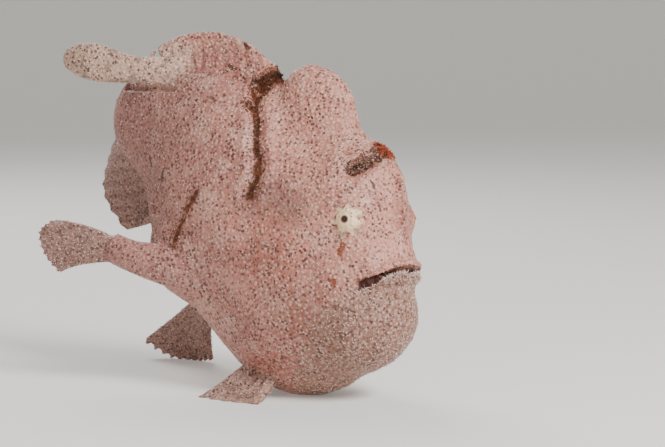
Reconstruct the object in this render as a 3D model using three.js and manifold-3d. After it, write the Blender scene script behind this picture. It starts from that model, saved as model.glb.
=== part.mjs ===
// A painted frogfish sitting on the sea bed, life size, as a still museum model.
// Units are millimetres, +Z is up, and the fish heads along +X.
// Everything is shaped in the frame of a straight fish: "back" runs from the snout towards the tail,
// "up" towards the back fins and "side" towards the right flank. pose() then bends and tips that fish.

import * as THREE from "three";
import { mergeVertices } from "three/addons/utils/BufferGeometryUtils.js";
import Module from "manifold-3d";

const wasm = await Module();
wasm.setup();

// Driving dimensions. From snout to tail base the fish is 109 long, which the "back" numbers follow.
const NOSE_DOWN = 24;
const GAP = 0.3;
const HEAD_CELL = 2.8;
const TRUNK_CELL = 3.6;
const EYE_RADIUS = 3.2;
const EYE_STANDS_OUT = 1.3;
const EYE_PLACE = [15.6, 5.8];
const MEMBRANE_THICK = 0.5;
const MEMBRANE_REACH = 0.94;
const WALL_REACH = 90;
const MOUTH_REACH = 34;
const REACH_LOW = [-14, -60, -27];
const REACH_HIGH = [116, 44, 27];

const radians = THREE.MathUtils.degToRad;
const clamp = THREE.MathUtils.clamp;
const lerp = THREE.MathUtils.lerp;

// Pose: how far the backbone is turned sideways, in degrees, at each point along the back.
// The tail curls away to the left. The back fin and the limbs keep to the straighter line of the trunk.
const TRUNK_BENDS = [
  [-20, 12],
  [18, 11],
  [52, -4],
  [84, 0],
  [150, 4],
];
const TAIL_BENDS = [...TRUNK_BENDS.slice(0, -1), [106, 58], [150, 66]];
const SPINE_STEP = 0.5;
const SPINE_START = -30;
const SPINE_END = 160;

function bendAt(bends, back) {
  let i = 1;
  while (i < bends.length - 1 && back > bends[i][0]) i += 1;
  const [b0, a0] = bends[i - 1];
  const [b1, a1] = bends[i];
  const t = clamp((back - b0) / (b1 - b0), 0, 1);
  return radians(lerp(a0, a1, t * t * (3 - 2 * t)));
}

function spineOf(bends) {
  const spine = [[0, 0]];
  for (let b = SPINE_START; b < SPINE_END; b += SPINE_STEP) {
    const [x, y] = spine[spine.length - 1];
    const a = bendAt(bends, b + SPINE_STEP / 2);
    spine.push([x - Math.cos(a) * SPINE_STEP, y + Math.sin(a) * SPINE_STEP]);
  }
  return spine;
}

const PITCH = new THREE.Matrix4().makeRotationY(radians(NOSE_DOWN));
const TRUNK_LINE = { bends: TRUNK_BENDS, spine: spineOf(TRUNK_BENDS) };
const TAIL_LINE = { bends: TAIL_BENDS, spine: spineOf(TAIL_BENDS) };
const CURLED = ["trunk", "tail", "caudal_fin", "anal_fin"];

// Straight-fish point to model point
function pose([back, up, side], { bends, spine } = TRUNK_LINE) {
  const k = clamp((back - SPINE_START) / SPINE_STEP, 0, spine.length - 1.001);
  const i = Math.floor(k);
  const t = k - i;
  const a = bendAt(bends, back);
  const x = lerp(spine[i][0], spine[i + 1][0], t) - side * Math.sin(a);
  const y = lerp(spine[i][1], spine[i + 1][1], t) - side * Math.cos(a);
  return new THREE.Vector3(x, y, up).applyMatrix4(PITCH);
}

// Flesh: soft lumps that melt into one skin
// at and size are [back, up, side]; tilt raises the tail end; blend is how softly a lump melts in
const LUMPS = [
  { at: [42, -13, 0], size: [41, 30, 19], tilt: 16, blend: 1 },
  { at: [27, -27, 0], size: [24, 21.5, 16], tilt: 8, blend: 8 },
  { at: [25, -4, 0], size: [18.5, 26, 15], tilt: 0, blend: 8 },
  { at: [8.2, -18.3, 0], size: [13.8, 14.6, 14.5], tilt: 2, blend: 4 },
  { at: [6.6, -3.2, 0], size: [7, 5, 9.5], tilt: 0, blend: 4 },
  { at: [15.5, -1.5, 0], size: [9.5, 10, 12], tilt: -20, blend: 4 },
  { at: [27, 9.5, 0], size: [10.5, 13, 9.5], tilt: 0, blend: 5 },
  { at: [41, 18, 0], size: [10.5, 16, 6.5], tilt: -12, blend: 5 },
  { at: [47, 21, 0], size: [7, 12.5, 5.5], tilt: 0, blend: 4 },
  { at: [50.3, 25, 0], size: [4.4, 8.4, 4.4], tilt: 0, blend: 3 },
  { at: [22.2, 13.7, 0], size: [3.5, 7.8, 4], tilt: -10, blend: 3 },
  { at: [64, 8, 0], size: [24, 14, 10], tilt: 2, blend: 6 },
  { at: [83, -2, 0], size: [24, 13, 6.5], tilt: 8, blend: 7 },
  { at: [58, -27, 11], size: [11, 9, 6], tilt: 0, blend: 6, both: true },
  { at: [15.6, 5.8, 9.6], size: [4.6, 4.6, 4.2], tilt: 0, blend: 2.2, both: true },
];

function lumpDistance(lump, b, u, s) {
  const a = radians(lump.tilt);
  const [ab, au, as] = lump.at;
  const db = b - ab;
  const du = u - au;
  const x = (db * Math.cos(a) + du * Math.sin(a)) / lump.size[0];
  const y = (-db * Math.sin(a) + du * Math.cos(a)) / lump.size[1];
  const z = (s - as) / lump.size[2];
  const k0 = Math.hypot(x, y, z);
  const k1 = Math.hypot(x / lump.size[0], y / lump.size[1], z / lump.size[2]);
  return k1 > 0 ? (k0 * (k0 - 1)) / k1 : -Math.min(...lump.size);
}

function melt(a, b, k) {
  const h = Math.max(k - Math.abs(a - b), 0) / k;
  return Math.min(a, b) - h * h * k * 0.25;
}

function flesh(b, u, s) {
  let d = Infinity;
  for (const lump of LUMPS) {
    const near = lumpDistance(lump, b, u, s);
    d = d === Infinity ? near : melt(d, near, lump.blend);
    if (lump.both) {
      d = melt(d, lumpDistance(lump, b, u, -s), lump.blend);
    }
  }
  return d;
}

// Surface nets: the zero level of a field as a closed mesh of quads cut in two
function netOf(field, low, high, cell) {
  const n = low.map((l, i) => Math.ceil((high[i] - l) / cell) + 1);
  const at = (i, j, k) => (k * n[1] + j) * n[0] + i;
  const value = new Float64Array(n[0] * n[1] * n[2]);
  for (let k = 0; k < n[2]; k += 1)
    for (let j = 0; j < n[1]; j += 1)
      for (let i = 0; i < n[0]; i += 1)
        value[at(i, j, k)] = field(low[0] + i * cell, low[1] + j * cell, low[2] + k * cell);
  const corners = [0, 1, 2, 3, 4, 5, 6, 7].map((c) => [c & 1, (c >> 1) & 1, (c >> 2) & 1]);
  const edges = [];
  for (let a = 0; a < 8; a += 1)
    for (const bit of [1, 2, 4]) if (!(a & bit)) edges.push([a, a | bit]);
  const points = [];
  const index = new Int32Array(value.length).fill(-1);
  for (let k = 0; k < n[2] - 1; k += 1)
    for (let j = 0; j < n[1] - 1; j += 1)
      for (let i = 0; i < n[0] - 1; i += 1) {
        const v = corners.map(([a, b, c]) => value[at(i + a, j + b, k + c)]);
        const sum = [0, 0, 0];
        let count = 0;
        for (const [a, b] of edges) {
          if (v[a] < 0 === v[b] < 0) continue;
          const t = v[a] / (v[a] - v[b]);
          for (let x = 0; x < 3; x += 1) sum[x] += lerp(corners[a][x], corners[b][x], t);
          count += 1;
        }
        if (!count) continue;
        const p = [i, j, k].map((g, x) => low[x] + (g + sum[x] / count) * cell);
        index[at(i, j, k)] = points.length;
        points.push(p);
      }
  for (const p of points) {
    for (let pass = 0; pass < 3; pass += 1) {
      const e = 0.05;
      const d = field(...p);
      const g = [0, 1, 2].map((x) => {
        const q = p.slice();
        q[x] += e;
        return (field(...q) - d) / e;
      });
      const gg = g[0] ** 2 + g[1] ** 2 + g[2] ** 2 + 1e-9;
      for (let x = 0; x < 3; x += 1) p[x] -= clamp((d * g[x]) / gg, -0.3 * cell, 0.3 * cell);
    }
  }
  const faces = [];
  const step = [[1, 0, 0], [0, 1, 0], [0, 0, 1]];
  for (let k = 1; k < n[2] - 1; k += 1)
    for (let j = 1; j < n[1] - 1; j += 1)
      for (let i = 1; i < n[0] - 1; i += 1)
        for (let axis = 0; axis < 3; axis += 1) {
          const [a, b, c] = step[axis];
          const v0 = value[at(i, j, k)];
          const v1 = value[at(i + a, j + b, k + c)];
          if (v0 < 0 === v1 < 0) continue;
          const [u, w] = [step[(axis + 1) % 3], step[(axis + 2) % 3]];
          const cellAt = (du, dw) =>
            index[at(i - du * u[0] - dw * w[0], j - du * u[1] - dw * w[1], k - du * u[2] - dw * w[2])];
          const q = [cellAt(0, 0), cellAt(1, 0), cellAt(1, 1), cellAt(0, 1)];
          if (v0 < 0) faces.push([q[0], q[2], q[1]], [q[0], q[3], q[2]]);
          else faces.push([q[0], q[1], q[2]], [q[0], q[2], q[3]]);
        }
  return { points, faces };
}

// A fin: a fan of rays joined by a thin membrane, thicker along each ray.
// root, middle and tip are lines from the first ray to the last; thick is at the root and at the tip,
// and reach is how far out the membrane goes between the rays.
function fanOf({ rays, rows, root, middle, tip, thick, reach = MEMBRANE_REACH }) {
  const curveOf = (list) => new THREE.CatmullRomCurve3(list.map((p) => new THREE.Vector3(...p)));
  const [rootLine, middleLine, tipLine] = [root, middle, tip].map(curveOf);
  const place = (f, t) =>
    rootLine
      .getPoint(f)
      .multiplyScalar((1 - t) * (1 - 2 * t))
      .addScaledVector(middleLine.getPoint(f), 4 * t * (1 - t))
      .addScaledVector(tipLine.getPoint(f), t * (2 * t - 1));
  const columns = 2 * rays;
  const small = 0.01;
  const points = [];
  for (const face of [1, -1])
    for (let c = 0; c <= columns; c += 1)
      for (let r = 0; r <= rows; r += 1) {
        const onRay = c % 2 === 1;
        const f = c / columns;
        const t = (r / rows) * (onRay ? 1 : lerp(1, reach, r / rows));
        const across = place(Math.min(f + small, 1), t).sub(place(Math.max(f - small, 0), t));
        const along = place(f, Math.min(t + small, 1)).sub(place(f, Math.max(t - small, 0)));
        const normal = across.cross(along).normalize();
        const half = (lerp(thick[0], thick[1], r / rows) * (onRay ? 1 : MEMBRANE_THICK)) / 2;
        points.push(place(f, t).addScaledVector(normal, face * half).toArray());
      }
  const at = (face, c, r) => (face * (columns + 1) + c) * (rows + 1) + r;
  const faces = [];
  const quad = (a, b, c, d) => faces.push([a, b, c], [a, c, d]);
  for (let c = 0; c < columns; c += 1)
    for (let r = 0; r < rows; r += 1) {
      quad(at(0, c, r), at(0, c, r + 1), at(0, c + 1, r + 1), at(0, c + 1, r));
      quad(at(1, c + 1, r + 1), at(1, c, r + 1), at(1, c, r), at(1, c + 1, r));
    }
  for (let c = 0; c < columns; c += 1) {
    quad(at(0, c, 0), at(0, c + 1, 0), at(1, c + 1, 0), at(1, c, 0));
    quad(at(0, c + 1, rows), at(0, c, rows), at(1, c, rows), at(1, c + 1, rows));
  }
  for (let r = 0; r < rows; r += 1) {
    quad(at(0, 0, r + 1), at(0, 0, r), at(1, 0, r), at(1, 0, r + 1));
    quad(at(0, columns, r), at(0, columns, r + 1), at(1, columns, r + 1), at(1, columns, r));
  }
  return { points, faces };
}

// A limb: rings of the given radii along a line, closed by a point at each end
function limbOf({ line, radii, flat, rows = 8, sides = 12 }, extra = 0) {
  const curve = new THREE.CatmullRomCurve3(line.map((p) => new THREE.Vector3(...p)));
  const points = [];
  for (let r = 0; r <= rows; r += 1) {
    const t = r / rows;
    const k = t * (radii.length - 1);
    const i = Math.min(Math.floor(k), radii.length - 2);
    const radius = lerp(radii[i], radii[i + 1], k - i) + extra;
    const along = curve.getTangent(t);
    const wide = new THREE.Vector3(0, 0, 1).cross(along).normalize();
    const thin = along.clone().cross(wide);
    for (let a = 0; a < sides; a += 1) {
      const turn = (2 * Math.PI * a) / sides;
      const p = curve.getPoint(t).addScaledVector(wide, radius * Math.cos(turn));
      points.push(p.addScaledVector(thin, radius * flat * Math.sin(turn)).toArray());
    }
  }
  const first = points.push(line[0]) - 1;
  const last = points.push(curve.getPoint(1).addScaledVector(curve.getTangent(1), 1).toArray()) - 1;
  const at = (r, a) => r * sides + (a % sides);
  const faces = [];
  for (let a = 0; a < sides; a += 1) {
    for (let r = 0; r < rows; r += 1) {
      faces.push([at(r, a), at(r + 1, a + 1), at(r, a + 1)], [at(r, a), at(r + 1, a), at(r + 1, a + 1)]);
    }
    faces.push([first, at(0, a), at(0, a + 1)]);
    faces.push([last, at(rows, a + 1), at(rows, a)]);
  }
  return { points, faces };
}

// Solids, still in the straight fish
function solidFrom(positions, triangles) {
  const solid = new wasm.Manifold(
    new wasm.Mesh({ numProp: 3, vertProperties: positions, triVerts: triangles }),
  );
  if (solid.volume() > 0) return solid;
  const turned = new Uint32Array(triangles);
  for (let i = 0; i < turned.length; i += 3) [turned[i + 1], turned[i + 2]] = [turned[i + 2], turned[i + 1]];
  return solidFrom(positions, turned);
}

function solidOf({ points, faces }) {
  return solidFrom(new Float32Array(points.flat()), new Uint32Array(faces.flat()));
}

function solidOfGeometry(geometry, at, matrix = new THREE.Matrix4()) {
  const bare = new THREE.BufferGeometry();
  bare.setAttribute("position", geometry.getAttribute("position").clone());
  if (geometry.index) bare.setIndex(geometry.index.clone());
  const merged = mergeVertices(bare, 1e-4);
  merged.applyMatrix4(matrix).translate(...at);
  return solidFrom(merged.getAttribute("position").array, new Uint32Array(merged.index.array));
}

function ball(at, radius, around = 14, down = 10) {
  return solidOfGeometry(new THREE.SphereGeometry(radius, around, down), at);
}

// A ring lying in the skin, facing the way the skin faces
function ringOnSkin(at, radius, thickness, around = 16) {
  const turn = new THREE.Matrix4().makeRotationFromQuaternion(
    new THREE.Quaternion().setFromUnitVectors(new THREE.Vector3(0, 0, 1), skinNormal(at)),
  );
  return solidOfGeometry(new THREE.TorusGeometry(radius, thickness, 5, around), at, turn);
}

// A rope of even thickness along a line of points
function rope(line, radius) {
  return solidOf(limbOf({ line, radii: [radius, radius], flat: 1, rows: line.length, sides: 5 }));
}

// A thin upright wall along a line of [back, up] points, reaching past both flanks
function wall(line, thickness = GAP) {
  const boxes = line.slice(1).map((end, i) => {
    const start = line[i];
    const [db, du] = [end[0] - start[0], end[1] - start[1]];
    const box = new THREE.BoxGeometry(Math.hypot(db, du) + thickness, thickness, WALL_REACH);
    const turn = new THREE.Matrix4().makeRotationZ(Math.atan2(du, db));
    return solidOfGeometry(box, [(start[0] + end[0]) / 2, (start[1] + end[1]) / 2, 0], turn);
  });
  return wasm.Manifold.union(boxes);
}

// Where a line from inside the flesh comes out through the skin
function onSkin(from, direction, lift = 0) {
  const length = Math.hypot(...direction);
  const at = (t) => from.map((v, i) => v + (direction[i] / length) * t);
  let [low, high] = [0, 60];
  for (let pass = 0; pass < 40; pass += 1) {
    const half = (low + high) / 2;
    if (flesh(...at(half)) < 0) low = half;
    else high = half;
  }
  return at(low + lift);
}

function skinNormal([b, u, s]) {
  const e = 0.1;
  const d = flesh(b, u, s);
  const [db, du, ds] = [flesh(b + e, u, s) - d, flesh(b, u + e, s) - d, flesh(b, u, s + e) - d];
  return new THREE.Vector3(db, du, ds).normalize();
}

// The largest closed piece of a solid, and the piece of a cut solid nearest to a point
function largest(solid) {
  const pieces = solid.decompose();
  return pieces.reduce((a, b) => (b.volume() > a.volume() ? b : a));
}

function pieceAt(pieces, [b, u, s]) {
  const reach = (piece) => {
    const { vertProperties } = piece.getMesh();
    let near = Infinity;
    for (let i = 0; i < vertProperties.length; i += 3) {
      const [x, y, z] = vertProperties.subarray(i, i + 3);
      near = Math.min(near, Math.hypot(x - b, y - u, z - s));
    }
    return near;
  };
  const distances = pieces.map(reach);
  return pieces[distances.indexOf(Math.min(...distances))];
}

// Mouth: a steep line rising from the corners to the snout
const MOUTH_CORNER = [5.4, -7.3];
const MOUTH_RISE = [-0.57, 0.82];
const JAW_JOINT = [8, -11];
const MOUTH_OPEN = 2.2;
const LIP = 1.0;

function mouthPoint(turn, lower) {
  const [forward, outward] = [Math.cos(radians(turn)), Math.sin(radians(turn))];
  const shift = (lower ? -1 : 1) * (LIP * 0.7 + (MOUTH_OPEN / 2) * forward);
  const from = [MOUTH_CORNER[0] + MOUTH_RISE[1] * shift, MOUTH_CORNER[1] - MOUTH_RISE[0] * shift, 0];
  return onSkin(from, [MOUTH_RISE[0] * forward, MOUTH_RISE[1] * forward, outward], -0.2);
}

function lip(lower) {
  const line = [];
  for (let turn = -86; turn <= 86; turn += 14.3333) line.push(mouthPoint(turn, lower));
  return rope(line, LIP);
}

// The open mouth: a wedge that closes at the jaw joint
function gape() {
  const shape = new THREE.Shape();
  const lipsAway = 12;
  const open = (MOUTH_OPEN * MOUTH_REACH) / lipsAway;
  shape.moveTo(0, 0);
  shape.lineTo(MOUTH_REACH, open / 2);
  shape.lineTo(MOUTH_REACH, -open / 2);
  const geometry = new THREE.ExtrudeGeometry(shape, { depth: WALL_REACH, bevelEnabled: false });
  geometry.translate(0, 0, -WALL_REACH / 2);
  const turn = new THREE.Matrix4().makeRotationZ(Math.atan2(MOUTH_RISE[1], MOUTH_RISE[0]));
  return solidOfGeometry(geometry, [...JAW_JOINT, 0], turn);
}

// Seams between the fleshy parts, as lines of [back, up]
const SEAMS = {
  mouth: [JAW_JOINT.map((v, i) => v + MOUTH_REACH * MOUTH_RISE[i]), JAW_JOINT, [13, -25], [15, -70]],
  neck: [[41, 17], [38, -20], [35, -70]],
  thirdSpine: [[18, 34], [25.6, 22], [36, 17], [46, 17], [52.5, 22], [57.5, 40]],
  secondSpine: [[8, 23], [15, 14.5], [21.5, 14.5], [25.8, 20.5], [26, 40]],
  tail: [[85, 30], [85, -40]],
};

const FINS = {
  dorsal_fin: {
    rays: 12,
    rows: 6,
    root: [[55, 16, 0], [66, 16.5, 0], [78, 11, 0], [86, 8, 0]],
    middle: [[56, 23, 0], [67, 25, -0.3], [80, 21.5, -0.5], [90, 14.5, 1]],
    tip: [
      [56.2, 28.2, 0], [60, 28.8, 0], [68.6, 31.4, 0], [77.3, 30.4, -1],
      [82, 28.8, -1], [87, 26.3, -1], [91.2, 22.6, 0], [93.7, 18.8, 2],
    ],
    thick: [6, 1.7],
    reach: 0.99,
  },
  caudal_fin: {
    rays: 9,
    rows: 6,
    root: [[102, 6, 0], [103, -1, 0], [101, -8, 0]],
    middle: [[113, 9, -1], [118, -1, -1], [113, -12, -1]],
    tip: [[123, 11, -2], [129, 6, -2], [132, -1, -2], [129, -10, -2], [121, -18, -2]],
    thick: [3, 1.1],
  },
  anal_fin: {
    rays: 7,
    rows: 5,
    root: [[70, -20, 0], [81, -15, 0], [94, -9, 0]],
    middle: [[78, -27, 0], [90, -22, 0], [102, -14, 0]],
    tip: [[84, -32, 0], [99, -25, 0], [111, -14, 0]],
    thick: [3, 1.1],
  },
  pelvic_fin_right: {
    rays: 5,
    rows: 4,
    root: [[19, -42, 9], [25, -44, 9], [30, -43, 10]],
    middle: [[17, -46.3, 15], [25, -49.5, 15], [33, -51, 15]],
    tip: [[14, -47.3, 20], [24, -51.5, 22], [36, -56, 21]],
    thick: [4, 1.4],
  },
  pectoral_fin_right: {
    rays: 10,
    rows: 4,
    root: [[74.5, -28, 18], [75, -31, 18.5], [74, -34, 18]],
    middle: [[86, -29, 20], [87, -34, 22], [82, -39, 20]],
    tip: [[95, -32.5, 20], [96, -36, 23], [92, -41, 23], [87.5, -44.5, 20]],
    thick: [4, 1.2],
  },
};

const ARMS = {
  pectoral_arm_right: {
    line: [[52, -27, 11], [62, -29, 16], [70, -30.5, 18], [76, -31, 18.5]],
    radii: [7, 5.5, 4.2, 4.2],
    flat: 0.75,
  },
  pectoral_arm_left: {
    line: [[52, -27, -11], [58, -33, -17], [61, -42, -20], [63, -49, -21]],
    radii: [7, 5.5, 4.2, 4.2],
    flat: 0.75,
  },
};

// The thick round lobe at the end of the back fin, turned over towards the right flank
const BACK_LOBE = {
  line: [
    [84, 15, 1.5], [91.4, 12.6, 5.5], [96, 11.4, 7], [101.3, 10.1, 8],
    [106.3, 8.8, 9], [111.6, 7.2, 9], [115, 6, 9],
  ],
  radii: [5.5, 4.2, 4, 4.9, 5.3, 4.6, 2.4],
  flat: 0.42,
  rows: 16,
  sides: 14,
};
FINS.pelvic_fin_left = {
  rays: 5,
  rows: 4,
  root: [[30, -43, -10], [25, -44, -9], [19, -42, -9]],
  middle: [[33, -49, -15], [25, -47.5, -15], [17, -44.3, -15]],
  tip: [[36, -52.7, -21], [24, -47.8, -22], [14, -43.5, -20]],
  thick: [4, 1.4],
};
FINS.pectoral_fin_left = {
  rays: 10,
  rows: 4,
  root: [[60, -48, -21], [63, -48, -21.5], [66, -47, -21]],
  middle: [[58, -57, -24], [64, -59, -26], [72, -57, -24]],
  tip: [[55, -63, -26], [61, -67, -28], [70, -70, -28], [80, -69, -26]],
  thick: [4, 1.4],
};

function eyeAt(side) {
  return onSkin([...EYE_PLACE, 0], [0, 0, side], EYE_STANDS_OUT - EYE_RADIUS);
}

// The raised rim of skin round an eye
function lidRing(side) {
  return ringOnSkin(onSkin([...EYE_PLACE, 0], [0, 0, side]), EYE_RADIUS + GAP, 0.9, 14);
}

function nostril(side, back, up) {
  const at = onSkin([14, up, 0], [back - 14, 0, side * 5]);
  return ringOnSkin(at, 0.9, 0.45, 8);
}

// The round gill opening behind each limb: a raised rim round a shallow pit
function gill(side) {
  const from = [72, -14, 0];
  const outward = [0, -0.35, side];
  const rim = ringOnSkin(onSkin(from, outward), 1.6, 0.7, 12);
  const pit = ball(onSkin(from, outward, 0.3), 1.2, 8, 6);
  return { rim, pit };
}

function fleshSolid(cell, grow = 0) {
  return solidOf(netOf((b, u, s) => flesh(b, u, s) - grow, REACH_LOW, REACH_HIGH, cell));
}

function buildNodes() {
  const nodes = {};
  const seams = wasm.Manifold.union(Object.values(SEAMS).map((line) => wall(line)));
  const lids = [1, -1].map(lidRing);
  const sockets = [1, -1].map((side) => ball(eyeAt(side), EYE_RADIUS + GAP, 16, 12));
  const nostrils = [1, -1].flatMap((side) => [nostril(side, 2, 4), nostril(side, 3, 9)]);
  const mouth = wasm.Manifold.union([lip(true), lip(false)]).subtract(wall(SEAMS.mouth));
  const openHead = fleshSolid(HEAD_CELL).subtract(gape());
  const headSolid = wasm.Manifold.union([openHead, ...lids, ...nostrils, mouth]);
  const headPieces = wasm.Manifold.difference([headSolid, seams, ...sockets]).decompose();
  const gills = [gill(1), gill(-1)];
  const trunkSolid = wasm.Manifold.union([fleshSolid(TRUNK_CELL), ...gills.map(({ rim }) => rim)]);
  const pits = gills.map(({ pit }) => pit);
  const trunkPieces = wasm.Manifold.difference([trunkSolid, seams, ...pits]).decompose();
  nodes.head = pieceAt(headPieces, onSkin([30, -10, 0], [0, 0, 1]));
  nodes.lower_jaw = pieceAt(headPieces, onSkin([6, -24, 0], [-1, 0, 0]));
  nodes.third_dorsal_spine = pieceAt(headPieces, onSkin([42, 22, 0], [0, 1, 0]));
  nodes.second_dorsal_spine = pieceAt(headPieces, onSkin([21, 17, 0], [0, 1, 0]));
  nodes.trunk = pieceAt(trunkPieces, onSkin([60, -10, 0], [0, 0, 1]));
  nodes.tail = pieceAt(trunkPieces, onSkin([95, -1, 0], [0, 0, 1]));
  const clearance = fleshSolid(TRUNK_CELL, GAP);
  for (const side of ["right", "left"]) {
    nodes[`eye_${side}`] = ball(eyeAt(side === "right" ? 1 : -1), EYE_RADIUS);
    const arm = ARMS[`pectoral_arm_${side}`];
    nodes[`pectoral_arm_${side}`] = largest(solidOf(limbOf(arm)).subtract(clearance));
    const hand = solidOf(fanOf(FINS[`pectoral_fin_${side}`]));
    const wrist = solidOf(limbOf(arm, GAP));
    nodes[`pectoral_fin_${side}`] = largest(wasm.Manifold.difference([hand, wrist, clearance]));
    nodes[`pelvic_fin_${side}`] = largest(solidOf(fanOf(FINS[`pelvic_fin_${side}`])).subtract(clearance));
  }
  for (const name of ["anal_fin", "caudal_fin"]) {
    nodes[name] = largest(solidOf(fanOf(FINS[name])).subtract(clearance));
  }
  const backFin = solidOf(fanOf(FINS.dorsal_fin)).add(solidOf(limbOf(BACK_LOBE)));
  nodes.dorsal_fin = largest(backFin.subtract(clearance));
  nodes.illicium = largest(illicium().subtract(clearance));
  return nodes;
}

// The lure: a thin rod laid back against the face, with a small frilled bait at its tip
function illicium() {
  const line = [
    [9, 3, 0],
    onSkin([20, 5, 0], [-1, 0.1, 0], 0.4),
    onSkin([22, 10, 0], [-1, 0.2, 0], 0.8),
    onSkin([25, 14, 0], [-1, 0.3, 0], 1.2),
  ];
  const tip = line[line.length - 1];
  const frills = [[0, 0, 0], [0.2, 1.1, 0.7], [0.4, 1, -0.7]];
  const bait = frills.map((shift) => ball(tip.map((v, i) => v + shift[i]), 0.75, 8, 6));
  return wasm.Manifold.union([rope(line, 0.5), ...bait]);
}

// From the straight fish to the posed one, cut level where it meets the floor
const FLOOR = -23.6;

function posed(solid, line) {
  const { vertProperties, triVerts } = solid.getMesh();
  const place = [];
  for (let i = 0; i < vertProperties.length; i += 3) {
    place.push(...pose(vertProperties.subarray(i, i + 3), line).toArray());
  }
  return solidFrom(new Float32Array(place), triVerts);
}

function aboveFloor(solid) {
  const ground = new THREE.BoxGeometry(400, 400, 100);
  return largest(solid.subtract(solidOfGeometry(ground, [0, 0, FLOOR - 50])));
}

// Finishes by the word in a part's name; all other flesh is pinkish skin
const FINISHES = {
  eye: { color: 0xe8dcc0, roughness: 0.2 },
  fin: { color: 0xbfaca2, roughness: 0.6 },
  jaw: { color: 0xb49a90, roughness: 0.65 },
  illicium: { color: 0xd2b8ac, roughness: 0.6 },
  skin: { color: 0xc6a29a, roughness: 0.6 },
};

function meshOf(name, solid) {
  const { vertProperties, triVerts } = solid.getMesh();
  const geometry = new THREE.BufferGeometry();
  geometry.setAttribute("position", new THREE.BufferAttribute(vertProperties, 3));
  geometry.setIndex(new THREE.BufferAttribute(triVerts, 1));
  const kind = Object.keys(FINISHES).find((word) => name.includes(word)) ?? "skin";
  const mesh = new THREE.Mesh(geometry, new THREE.MeshStandardMaterial(FINISHES[kind]));
  mesh.name = name;
  return mesh;
}

const model = new THREE.Group();
model.name = "frogfish";
for (const [name, solid] of Object.entries(buildNodes())) {
  const line = CURLED.includes(name) ? TAIL_LINE : TRUNK_LINE;
  model.add(meshOf(name, aboveFloor(posed(solid, line))));
}
const box = new THREE.Box3().setFromObject(model);
const centre = box.getCenter(new THREE.Vector3());
for (const mesh of model.children) mesh.geometry.translate(-centre.x, -centre.y, -box.min.z);
export default model;
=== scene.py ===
# A frogfish resting on its chin and fins, as a life-size museum model.
# Lengths are in metres, angles in degrees unless said otherwise.

import math
import random

import bmesh
import bpy
import numpy as np
from mathutils import Matrix, Vector, noise
from mathutils.bvhtree import BVHTree


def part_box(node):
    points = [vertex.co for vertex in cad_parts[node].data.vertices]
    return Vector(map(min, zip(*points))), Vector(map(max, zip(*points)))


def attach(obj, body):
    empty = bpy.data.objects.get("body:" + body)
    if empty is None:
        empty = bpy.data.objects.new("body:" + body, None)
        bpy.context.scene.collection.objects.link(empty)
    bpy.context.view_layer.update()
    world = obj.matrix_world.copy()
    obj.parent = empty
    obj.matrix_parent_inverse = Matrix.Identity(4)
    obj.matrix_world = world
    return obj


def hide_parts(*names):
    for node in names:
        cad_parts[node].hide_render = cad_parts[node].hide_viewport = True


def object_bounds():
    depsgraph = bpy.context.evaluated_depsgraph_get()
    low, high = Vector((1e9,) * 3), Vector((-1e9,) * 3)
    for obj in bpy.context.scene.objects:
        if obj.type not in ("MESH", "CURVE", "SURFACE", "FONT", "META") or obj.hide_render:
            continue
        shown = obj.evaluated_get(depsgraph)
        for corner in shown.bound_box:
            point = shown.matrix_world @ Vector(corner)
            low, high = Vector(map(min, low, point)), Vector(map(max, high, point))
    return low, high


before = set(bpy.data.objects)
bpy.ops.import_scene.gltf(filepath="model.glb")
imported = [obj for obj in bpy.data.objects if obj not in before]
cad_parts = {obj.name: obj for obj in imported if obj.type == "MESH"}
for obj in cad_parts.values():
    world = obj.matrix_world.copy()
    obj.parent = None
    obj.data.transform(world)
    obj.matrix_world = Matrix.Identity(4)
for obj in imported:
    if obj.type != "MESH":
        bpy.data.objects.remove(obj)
cad_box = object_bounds()


def colour(red, green, blue):
    """A colour given as it looks on a screen, 0 to 255, for a shader."""
    def linear(value):
        value /= 255
        return value / 12.92 if value <= 0.04045 else ((value + 0.055) / 1.055) ** 2.4
    return (linear(red), linear(green), linear(blue), 1.0)


# Camera: the photograph's frame in pixels, and where it stands
PHOTO_WIDTH = 665
PHOTO_HEIGHT = 447
FOCAL_PIXELS = 1995
SENSOR_WIDTH_MM = 36
CAMERA_DISTANCE = 0.5
CAMERA_AZIMUTH = 27
CAMERA_ELEVATION = 6
EYE_PIXEL = (344, 219)

# Room
FLOOR_RADIUS = 1.4
FLOOR_CURVE = 0.8
WALL_HEIGHT = 2.6
FLOOR_GLOW = 0.22
WORLD_STRENGTH = 0.3
LIGHT_TARGET = Vector((0, 0, 0.05))

# Lights: how far back, right and up from the target as the camera sees it, then size and power
LIGHTS = {
    "key": ((0.4, 0.34, 0.34), 0.2, 5.2),
    "fill": ((0.5, -0.5, 0.15), 0.6, 0.6),
    "rim": ((-0.4, -0.2, 0.55), 0.4, 3),
}

# Solids that the skin takes the place of
FLESH = [
    "head", "lower_jaw", "third_dorsal_spine", "second_dorsal_spine", "trunk", "tail",
    "pectoral_arm_right", "pectoral_arm_left", "dorsal_fin", "illicium",
]
FINS = [
    "anal_fin", "caudal_fin", "pectoral_fin_right", "pectoral_fin_left",
    "pelvic_fin_right", "pelvic_fin_left",
]

# Skin: how it is wrapped round the solids and smoothed, in rounds of smoothing
SEAM_FILL = 0.00022
SKIN_VOXEL = 0.0004
SKIN_TRIANGLES = 190000
BODY_SMOOTHING = 90
BACK_FIN_SMOOTHING = 26
FEATURE_SMOOTHING = 6
PULL_IN = 0.5
PUSH_OUT = 0.52

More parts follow.
